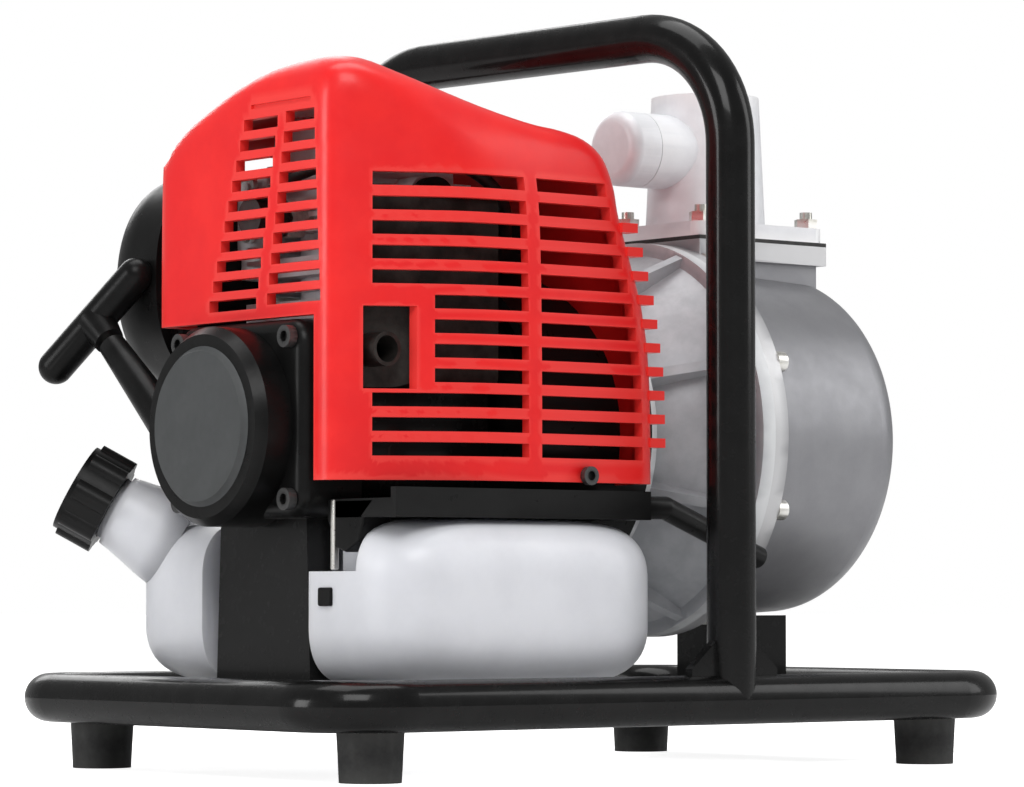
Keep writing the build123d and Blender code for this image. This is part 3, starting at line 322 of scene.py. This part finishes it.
def cube_directions(n):
    """Unit directions and quads of a cube grid blown up to a sphere."""
    verts = {}
    faces = []
    grid = np.tan(np.linspace(-math.pi / 4, math.pi / 4, n + 1))

    def index(point):
        return verts.setdefault(tuple(np.round(point, 6)), len(verts))

    for axis in range(3):
        for sign in (-1, 1):
            for i in range(n):
                for j in range(n):
                    quad = []
                    for di, dj in ((0, 0), (1, 0), (1, 1), (0, 1)):
                        point = [0.0, 0.0, 0.0]
                        point[axis] = float(sign)
                        point[(axis + 1) % 3] = grid[i + di]
                        point[(axis + 2) % 3] = grid[j + dj]
                        quad.append(index(point))
                    faces.append(tuple(quad if sign > 0 else reversed(quad)))
    directions = np.array(list(verts))
    return directions / np.linalg.norm(directions, axis=1)[:, None], faces


def blown_form(name, field, centre, slot, n=64, reach=260.0):
    """Closed mesh where a field is zero, found outward from a centre by halving."""
    directions, faces = cube_directions(n)
    low = np.zeros(len(directions))
    high = np.full(len(directions), reach)
    centre = np.array(centre, float)
    for _ in range(22):
        middle = (low + high) / 2
        outside = field(centre + directions * middle[:, None]) > 0
        high = np.where(outside, middle, high)
        low = np.where(outside, low, middle)
    return new_object(name, centre + directions * low[:, None], faces, slot, body=None)


# Red top cover ---------------------------------------------------------------------------------
# Side view (X, Z), end view (Y, Z) and plan (X, Y) of the cover, and its leaning pump-side edge.
COVER_EDGE_Z = (110, 150, 178, 196, 214, 226)
COVER_EDGE_X = (3.0, 2.0, -2.5, -8.0, -13.0, -14.0)
COVER_SIDE = curve_through([
    (-137.8, 60), (-137.8, 60), (-138, 150), (-138, 238), (-136.5, 260), (-129, 270.5), (-116, 273.5),
    (-103, 268), (-89, 262), (-74, 256.5), (-60, 252.5), (-46, 249.5), (-34, 248), (-24, 245), (-17, 238),
    (-14, 226), (-13, 214), (-8, 196), (-2.5, 178), (2, 150), (3, 110), (3, 60), (3, 60)])
COVER_END = curve_through([
    (-85.5, 60), (-85.5, 60), (-85.8, 140), (-84.5, 190), (-81.5, 222), (-74, 246), (-60, 265), (-40, 276),
    (-16, 274), (6, 266), (24, 258), (42, 250), (54, 240), (58.5, 222), (58.5, 60), (58.5, 60)])
COVER_PLAN = curve_through([
    (-138, 58.5), (-138, 58.5), (-138, -20), (-137.5, -46), (-132, -57), (-112, -69), (-88, -80), (-60, -85),
    (-25, -85.5), (-2, -83.5), (3, -76), (3, -60), (3, 58.5), (3, 58.5)])
COVER_WALL = 4.2
COVER_INSIDE = (-66.0, -14.0, 170.0)
HEAD_DOME_CENTRE = np.array((-80.0, 1.0, 230.0))
HEAD_DOME_HALF = np.array((34.5, 34.0, 30.0))
SIDE_SLOT_PITCH, SIDE_SLOT_H, SIDE_SLOT_Z0, SIDE_SLOTS = 9.2, 5.2, 120, 12
END_SLOT_PITCH, END_SLOT_H, END_SLOT_Z0, END_SLOTS = 7.6, 4.4, 177, 10
TOOTH_H, TEETH = 3.6, 10
OUTLET_X, OUTLET_Z = -116.0, 160.0
COVER_TRIMS = {
    "bottom": ((-200, -120, 0), (50, 120, 111)),
    "recoil": ((-200, -46.5, 0), (-118, 120, 173)),
    "cleaner": ((-120, 30, 0), (-50, 120, 243)),
    "fan": ((-52, 30, 0), (20, 60.5, 203)),
    "end": ((0, -70, 0), (20, 60, 215)),
}


def cover_field(inset):
    """Distance field of the cover's form, with a low dome over the cylinder head, moved in by an inset."""
    def field(p):
        side = outline_distance(p[:, [0, 2]], COVER_SIDE) + inset
        end = outline_distance(p[:, [1, 2]], COVER_END) + inset
        plan = outline_distance(p[:, [0, 1]], COVER_PLAN) + inset
        body = round_max(round_max(side, end, 10.0), plan, 5.0)
        q = np.abs(p - HEAD_DOME_CENTRE) - HEAD_DOME_HALF + inset
        dome = round_max(round_max(q[:, 0], q[:, 1], 14.0), q[:, 2], 10.0)
        return -round_max(-body, -dome, 14.0)
    return field


def pump_side_edge(z):
    """X of the cover's leaning edge at a height."""
    return float(np.interp(z, COVER_EDGE_Z, COVER_EDGE_X))


def cover_windows():
    """Boxes of the side and end louvres, the exhaust window and the switch window."""
    spans = []
    for row in range(SIDE_SLOTS):
        z = SIDE_SLOT_Z0 + row * SIDE_SLOT_PITCH
        beside_outlet = abs(z - OUTLET_Z) < 2 * SIDE_SLOT_PITCH
        spans.append(((-57, -110, z), (pump_side_edge(z) - 9, -58, z + SIDE_SLOT_H)))
        spans.append(((-101 if beside_outlet else -122, -110, z), (-63, -50, z + SIDE_SLOT_H)))
    for row in range(END_SLOTS):
        z = END_SLOT_Z0 + row * END_SLOT_PITCH
        spans.append(((-150, -10 - row * 1.5, z), (-128, 21 - row * 2.5, z + END_SLOT_H)))
        spans.append(((-150, -50 + row * 0.4, z + 1), (-122, -17 - row * 1.3, z + 1 + END_SLOT_H)))
    spans.append(((-150, -44, 253.5), (-135.6, -6, 255.2)))
    spans.append(((OUTLET_X - 9, -110, OUTLET_Z - 15), (OUTLET_X + 9, -50, OUTLET_Z + 16)))
    spans.append(((-28, 40, 208), (-12, 70, 222)))
    return spans


def comb_teeth():
    """Boxes of the short teeth that carry the side ribs past the pump-side edge."""
    spans = []
    for row in range(TEETH):
        z = SIDE_SLOT_Z0 + row * SIDE_SLOT_PITCH + SIDE_SLOT_H
        edge = pump_side_edge(z)
        spans.append(((edge - 4.5, -83.2, z), (edge + 3.2, -76.5, z + TOOTH_H)))
    return spans


def top_cover():
    """Moulded shell, trimmed round its neighbours, with louvres through it and comb teeth on one edge."""
    shell = blown_form("top_cover_shell", cover_field(0.0), COVER_INSIDE, "red_plastic", n=72)
    cut(shell, blown_form("cover_hollow", cover_field(COVER_WALL), COVER_INSIDE, "red_plastic", n=64))
    for place, span in COVER_TRIMS.items():
        cut(shell, boxes(f"cover_{place}_cut", [span]))
    cut(shell, boxes("cover_slots", cover_windows()))
    cut(shell, boxes("cover_teeth", comb_teeth()), "UNION")
    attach(shell, "chassis")
    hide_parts("top_cover")
    soften(shell, 0.7, 2, 38)


top_cover()

# Fuel tank -------------------------------------------------------------------------------------
TANK_LOW = np.array((-130.0, -94.0, 34.0))
TANK_HIGH = np.array((3.0, 94.0, 97.0))
SHAFT_Z = 132.0
FAN_SADDLE_R = 69
NECK_PROFILE = [(-31, 20.5), (-20, 18.6), (-12, 16.6), (-5, 15.2), (-2.2, 14.8), (-2.0, 12.9), (10, 12.9),
                (10, 10.5), (-28, 10.5)]
CAP_AXIS = np.array((-0.678, 0.552, 0.485)) / np.linalg.norm((-0.678, 0.552, 0.485))
CAP_BASE = np.array((-134.5, 91.0, 103.0))


def turned(name, start, axis, profile, slot, body="chassis", count=56, wobble=None, closed=False):
    """Lathe form about an axis.

    profile is (distance along, radius) pairs, and wobble(angle, along) scales a radius."""
    axis = Vector(axis).normalized()
    side = axis.orthogonal().normalized()
    up = axis.cross(side)
    verts = []
    for along, radius in profile:
        for k in range(count):
            t = 2 * math.pi * k / count
            r = radius * (wobble(t, along) if wobble else 1.0)
            verts.append(Vector(start) + axis * along + (side * math.cos(t) + up * math.sin(t)) * r)
    faces = []
    rows = len(profile)
    for row in range(rows if closed else rows - 1):
        after = (row + 1) % rows
        for k in range(count):
            j = (k + 1) % count
            faces.append((row * count + k, row * count + j, after * count + j, after * count + k))
    if not closed:
        faces.append(tuple(reversed(range(count))))
        faces.append(tuple((rows - 1) * count + k for k in range(count)))
    return new_object(name, verts, faces, slot, body)


def tank_field(p):
    """Distance field of a box with generously rounded ends."""
    centre = (TANK_LOW + TANK_HIGH) / 2
    half = (TANK_HIGH - TANK_LOW) / 2
    q = np.abs(p - centre) - half
    ends = round_max(q[:, 0], q[:, 1], 34.0)
    return round_max(ends, q[:, 2], 22.0)


def fuel_tank():
    """Blow-moulded tank with a slot for the stand, a notch by it and a saddle under the fan housing."""
    tank = blown_form("fuel_tank_shell", tank_field, (-64, 0, 64), "tank_plastic", n=56)
    cut(tank, boxes("tank_slot", [((-150, -35, 20), (-104, 35, 120))]))
    cut(tank, boxes("tank_notch", [((-150, -64, 77), (-114, -30, 120))]))
    cut(tank, turned("tank_saddle", (-52, 0, SHAFT_Z), (1, 0, 0), [(0, FAN_SADDLE_R), (80, FAN_SADDLE_R)],
                     "tank_plastic", body=None, count=72))
    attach(tank, "chassis")
    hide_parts("fuel_tank")
    soften(tank, 3.2, 4, 40)
    turned("fuel_tank_neck", CAP_BASE, CAP_AXIS, NECK_PROFILE, "tank_plastic", closed=True)


fuel_tank()

# Air cleaner lid ---------------------------------------------------------------------------------
LID_LOW = np.array((-129.0, 40.0, 148.0))
LID_HIGH = np.array((-57.0, 113.0, 240.0))
LID_SPLIT_Y, LID_WALL = 69.3, 3.0


def lid_field(inset):
    """Distance field of the lid's rounded box, moved in by an inset."""
    def field(p):
        q = np.abs(p - (LID_LOW + LID_HIGH) / 2) - (LID_HIGH - LID_LOW) / 2 + inset
        return round_max(round_max(q[:, 0], q[:, 2], 44.0), q[:, 1], 26.0)
    return field


def cleaner_lid():
    """Rounded hollow lid of the air cleaner, open where it meets its base."""
    centre = tuple((LID_LOW + LID_HIGH) / 2)
    lid = blown_form("air_cleaner_lid", lid_field(0.0), centre, "black_plastic", n=40)
    cut(lid, blown_form("lid_hollow", lid_field(LID_WALL), centre, "black_plastic", n=32))
    cut(lid, boxes("lid_split", [((-200, 0, 100), (0, LID_SPLIT_Y, 300))]))
    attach(lid, "air_cleaner_cover")
    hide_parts("air_cleaner_cover")
    soften(lid, 0.6)


cleaner_lid()

# Guard claw, tank clip and starter cord ---------------------------------------------------------
def prism(name, outline, low, high, slot):
    """Outline in the Y-Z plane pushed along X between two values, in millimetres."""
    count = len(outline)
    verts = [(x, y, z) for x in (low, high) for y, z in outline]
    faces = [tuple(range(count)), tuple(reversed(range(count, 2 * count)))]
    faces += [(k, k + count, (k + 1) % count + count, (k + 1) % count) for k in range(count)]
    form = new_object(name, verts, faces, slot, smooth=False)
    soften(form, 0.8)
    return form


prism("guard_claw", [(-44, 104), (-44, 96), (-49, 86), (-55, 84), (-63, 88), (-66, 97.4), (-74, 104)],
      -128, -114.5, "black_plastic")
prism("tank_strap", [(-46.5, 104), (-46.5, 77.4), (-49, 77.4), (-49, 104)], -128.8, -126, "zinc_steel")
prism("tank_clip", [(-42, 64), (-50, 64), (-50, 71), (-42, 71)], -131.4, -129, "black_plastic")

ROPE_R, ROPE_LENGTH, ROPE_STEP = 1.75, 86.25, 0.75
ROPE_AXIS = Vector((0, 0.765, 0.644))
REEL_GROOVE_R, REEL_X = 25.0, -142.0
ROPE_FOOT = Vector((REEL_X, 0.0, SHAFT_Z)) + Vector((0, 0.644, -0.765)) * REEL_GROOVE_R


def starter_rope():
    """Twisted cord along the guide arm, from the reel to the grip."""
    rows = [(k * ROPE_STEP, ROPE_R) for k in range(1, int(ROPE_LENGTH / ROPE_STEP) + 1)]
    rope = turned("starter_cord", ROPE_FOOT, ROPE_AXIS, rows, "rope_fibre", body=None, count=18,
                  wobble=lambda turn, along: 1 + 0.09 * math.cos(3 * turn - along * 1.3))
    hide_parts("starter_rope")
    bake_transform(rope)


starter_rope()

# CAD nodes that show as they are -------------------------------------------------------------
# These nodes show in another finish than their slot's: the screws; the housings behind the louvres, made
# black as painted shade for the dark inside the cover; and the pump's castings, lit and shaded copies of one
# metal, with the discharge port and priming plug in the lighter copy as painted light.
SHOWN_AS = {"cover_screws": "black_screw", "fan_cover": "black_plastic", "crankcase": "black_frame",
            "flywheel_fan": "heat_steel", "pump_bracket": "bracket_casting",
            "discharge_port": "cast_aluminium", "priming_plug": "cast_aluminium"}
for node, obj in NODES.items():
    obj.data.materials.clear()
    obj.data.materials.append(MATERIALS[SHOWN_AS.get(node, SLOT_OF[node])])
    if node != "top_cover":
        soften(obj, 0.5)

# Floor, light and camera ---------------------------------------------------------------------
def area_light(name, place, target, size, power):
    """Soft rectangular light aimed at a point, in metres."""
    light = bpy.data.lights.new(name, "AREA")
    light.shape = "RECTANGLE"
    light.size, light.size_y = size
    light.energy = power
    obj = bpy.data.objects.new(name, light)
    obj.location = place
    obj.rotation_euler = (Vector(target) - Vector(place)).to_track_quat("-Z", "Y").to_euler()
    bpy.context.scene.collection.objects.link(obj)


def seen_only(tree, seen, lit):
    """Value that is `seen` in the picture and `lit` for light and reflections."""
    path = tree.nodes.new("ShaderNodeLightPath")
    mix = tree.nodes.new("ShaderNodeMix")
    mix.inputs[2].default_value = lit
    mix.inputs[3].default_value = seen
    tree.links.new(path.outputs["Is Camera Ray"], mix.inputs[0])
    return mix.outputs[0]


def studio_floor(radius=14.0, count=64):
    """Wide pale disc under the pump."""
    verts = [(radius * math.cos(t), radius * math.sin(t), 0.0)
             for t in np.linspace(0, 2 * math.pi, count, endpoint=False)]
    mesh = bpy.data.meshes.new("studio_floor")
    mesh.from_pydata(verts, [], [tuple(range(count))])
    obj = bpy.data.objects.new("studio_floor", mesh)
    bpy.context.scene.collection.objects.link(obj)
    pale = surface("pale_floor", (0.83, 0.83, 0.83), (0.85, 0.85, 0.85), 3, (0.6, 0.7), [(200, 0.05, 0.05)])
    shader = pale.node_tree.nodes["Principled BSDF"]
    shader.inputs["Emission Color"].default_value = (1.0, 1.0, 1.0, 1.0)
    pale.node_tree.links.new(seen_only(pale.node_tree, 0.85, 0.0), shader.inputs["Emission Strength"])
    mesh.materials.append(pale)


studio_floor()

world = bpy.data.worlds.new("studio")
world.use_nodes = True
backdrop = world.node_tree.nodes["Background"]
backdrop.inputs["Color"].default_value = (1.0, 1.0, 1.0, 1.0)
world.node_tree.links.new(seen_only(world.node_tree, 1.0, 0.36), backdrop.inputs["Strength"])
bpy.context.scene.world = world
area_light("key", (-1.3, -1.4, 1.7), (0, 0, 0.12), (1.1, 1.1), 26)
area_light("left", (-1.9, 0.5, 0.5), (-0.1, 0.05, 0.08), (0.6, 0.6), 9)
area_light("side", (1.5, -1.0, 0.9), (0.05, 0, 0.12), (0.7, 1.3), 9)
area_light("top", (0.0, 0.2, 1.9), (0, 0, 0.1), (1.6, 1.0), 17)
area_light("back", (0.6, 1.8, 1.1), (0, 0, 0.15), (1.2, 0.8), 8)

VIEW_AZIMUTH, VIEW_PITCH, VIEW_YAW = math.radians(39.15), math.radians(2.81), math.radians(0.088)
VIEW_DISTANCE, VIEW_HEIGHT = 1.6684, 0.0674

camera_data = bpy.data.cameras.new("camera")
camera_data.lens = 145.8
camera_data.sensor_width = 36.0
camera_data.clip_end = 30.0
camera = bpy.data.objects.new("camera", camera_data)
camera.location = (-VIEW_DISTANCE * math.sin(VIEW_AZIMUTH), -VIEW_DISTANCE * math.cos(VIEW_AZIMUTH),
                   VIEW_HEIGHT)
camera.rotation_euler = (math.pi / 2 + VIEW_PITCH, 0, -VIEW_AZIMUTH + VIEW_YAW)
bpy.context.scene.collection.objects.link(camera)
bpy.context.scene.camera = camera
bpy.context.scene.view_settings.view_transform = "Standard"
